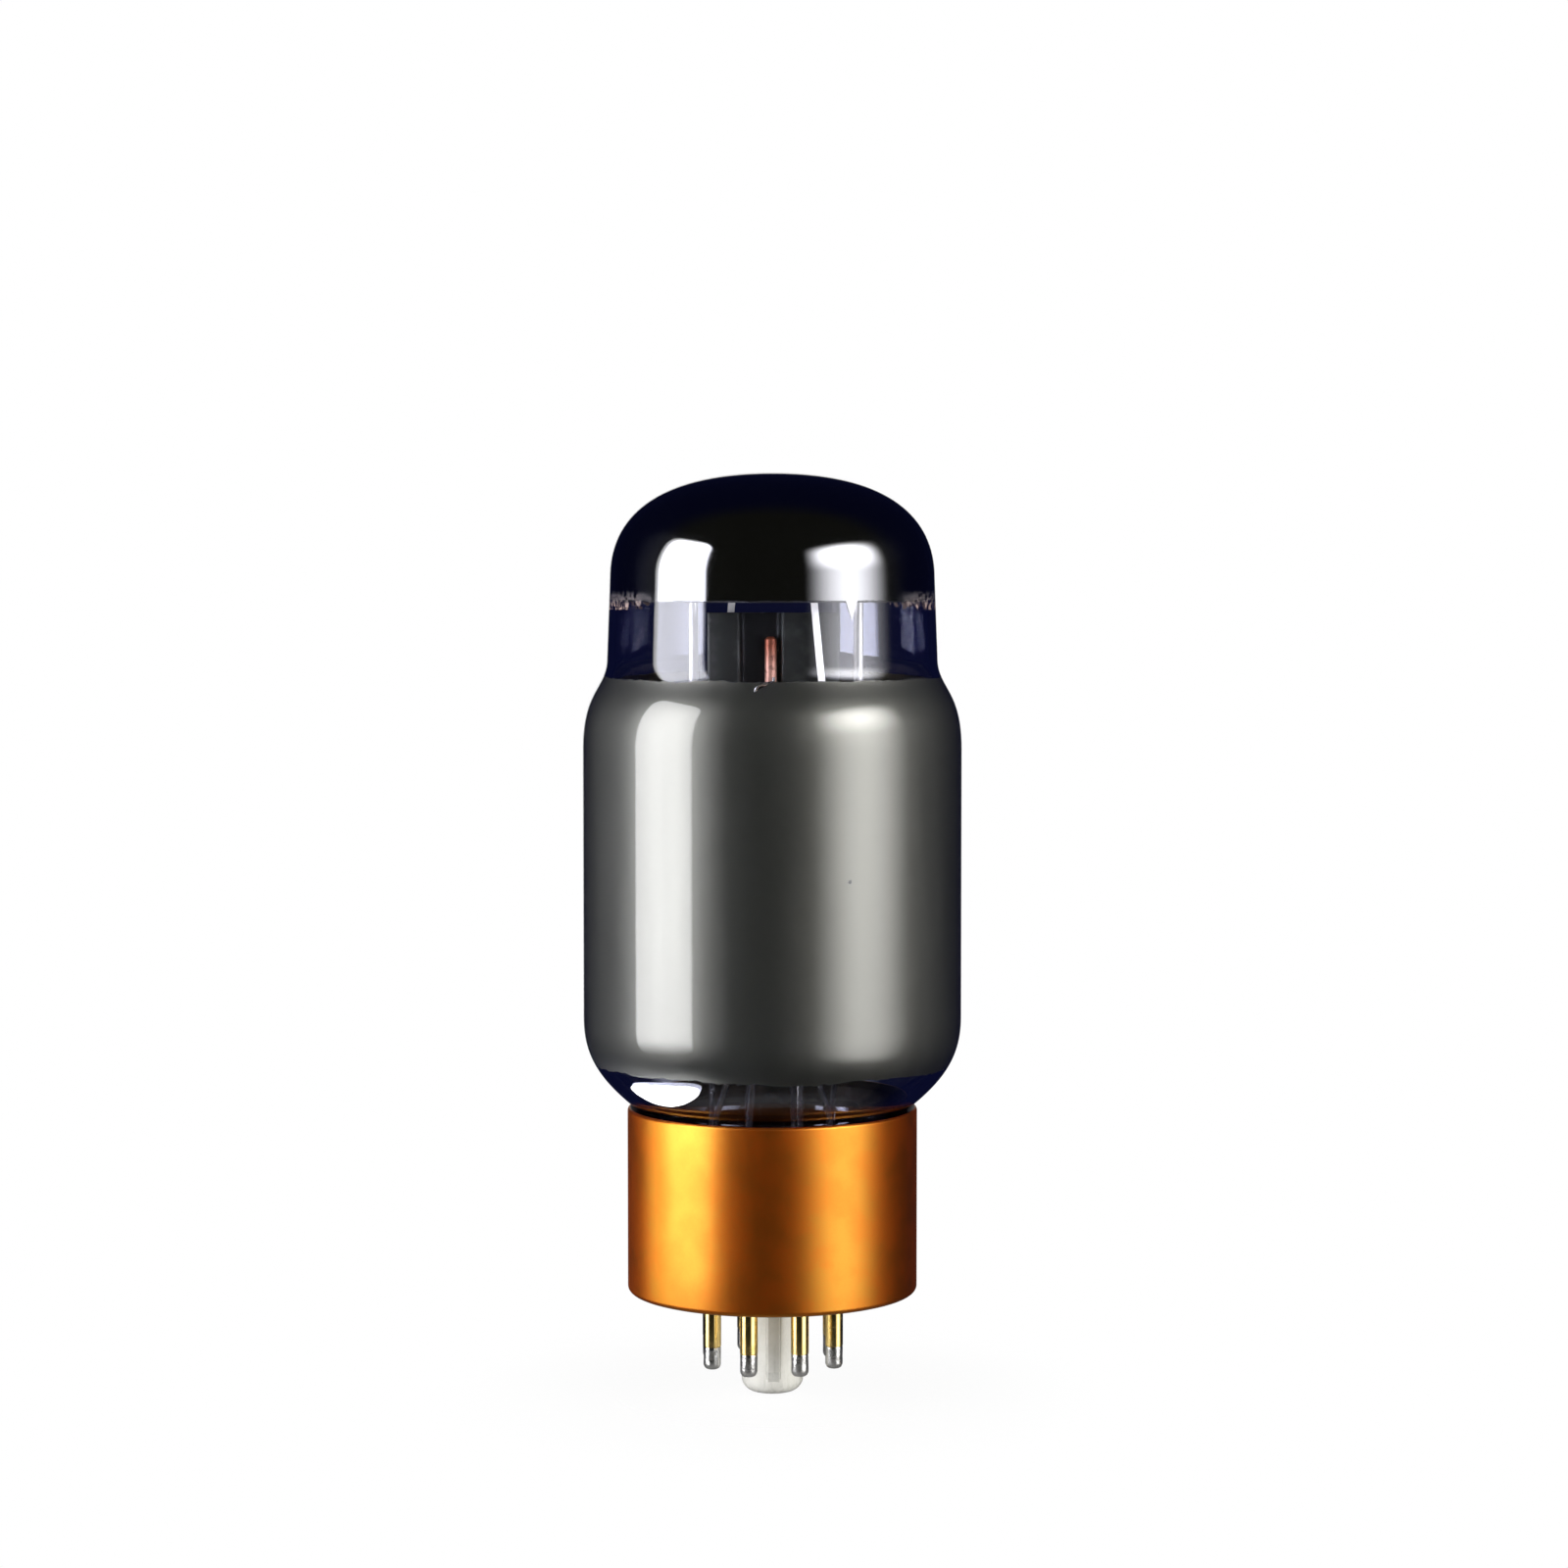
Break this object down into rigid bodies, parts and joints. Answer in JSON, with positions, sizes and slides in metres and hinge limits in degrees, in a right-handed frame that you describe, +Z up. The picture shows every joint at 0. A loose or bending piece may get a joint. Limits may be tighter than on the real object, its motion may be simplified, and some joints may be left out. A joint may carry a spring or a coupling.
{
  "type": "vacuum tube",
  "caption": "Upright glass beam power vacuum tube with a stepped bulb, dark inner coating, gold metal-sleeved base, plated contact pins and a central guide key.",
  "frame": {"origin": "on the tube's axis, in the plane of the base's bottom face, which rests on the socket", "axes": "+Z up the tube's axis towards the dome, -Y towards the guide key's rib, which is the front"},
  "size_m": [0.05, 0.05, 0.1219],
  "materials": {
    "gold_anodised": "satin gold anodised",
    "white_ceramic": "smooth off-white",
    "base_cement": "rough",
    "gold_plate": "polished gold plate",
    "solder": "bright solder",
    "blue_glass": "glossy, cobalt tinted",
    "clear_glass": "glossy",
    "graphite_film": "dark grey coating behind glass",
    "getter_mirror": "near-black mirror",
    "mica": "smooth",
    "nickel": "drawn and rolled nickel",
    "copper": "bright drawn copper",
    "carbonised": "matt black carbonised nickel",
    "cathode_oxide": "matt white coating"
  },
  "bodies": {
    "root": {"anode_front": "carbonised", "anode_post_left": "nickel", "anode_post_right": "nickel", "anode_rear": "carbonised", "base_cement": "base_cement", "base_insulator": "white_ceramic", "base_shell": "gold_anodised", "beam_plate_front": "nickel", "beam_plate_rear": "nickel", "cathode_sleeve": "cathode_oxide", "control_grid_rod_front": "copper", "control_grid_rod_rear": "copper", "control_grid_winding": "nickel", "getter_flash": "getter_mirror", "getter_ring_front": "nickel", "getter_ring_rear": "nickel", "getter_stalk_front": "nickel", "getter_stalk_rear": "nickel", "glass_envelope": "blue_glass", "glass_stem": "clear_glass", "graphite_coating": "graphite_film", "grid_jumper": "nickel", "grid_radiator_front": "carbonised", "grid_radiator_rear": "carbonised", "heater": "cathode_oxide", "lead_wire_1": "nickel", "lead_wire_2": "nickel", "lead_wire_3": "nickel", "lead_wire_4": "nickel", "lead_wire_5": "nickel", "lead_wire_6": "nickel", "lead_wire_7": "nickel", "lead_wire_8": "nickel", "mica_lower": "mica", "mica_top": "mica", "mica_upper": "mica", "pin_1": "gold_plate", "pin_2": "gold_plate", "pin_3": "gold_plate", "pin_4": "gold_plate", "pin_5": "gold_plate", "pin_6": "gold_plate", "pin_7": "gold_plate", "pin_8": "gold_plate", "screen_grid_rod_front": "nickel", "screen_grid_rod_rear": "nickel", "screen_grid_winding": "nickel", "solder_tip_1": "solder", "solder_tip_2": "solder", "solder_tip_3": "solder", "solder_tip_4": "solder", "solder_tip_5": "solder", "solder_tip_6": "solder", "solder_tip_7": "solder", "solder_tip_8": "solder"}
  },
  "joints": []
}
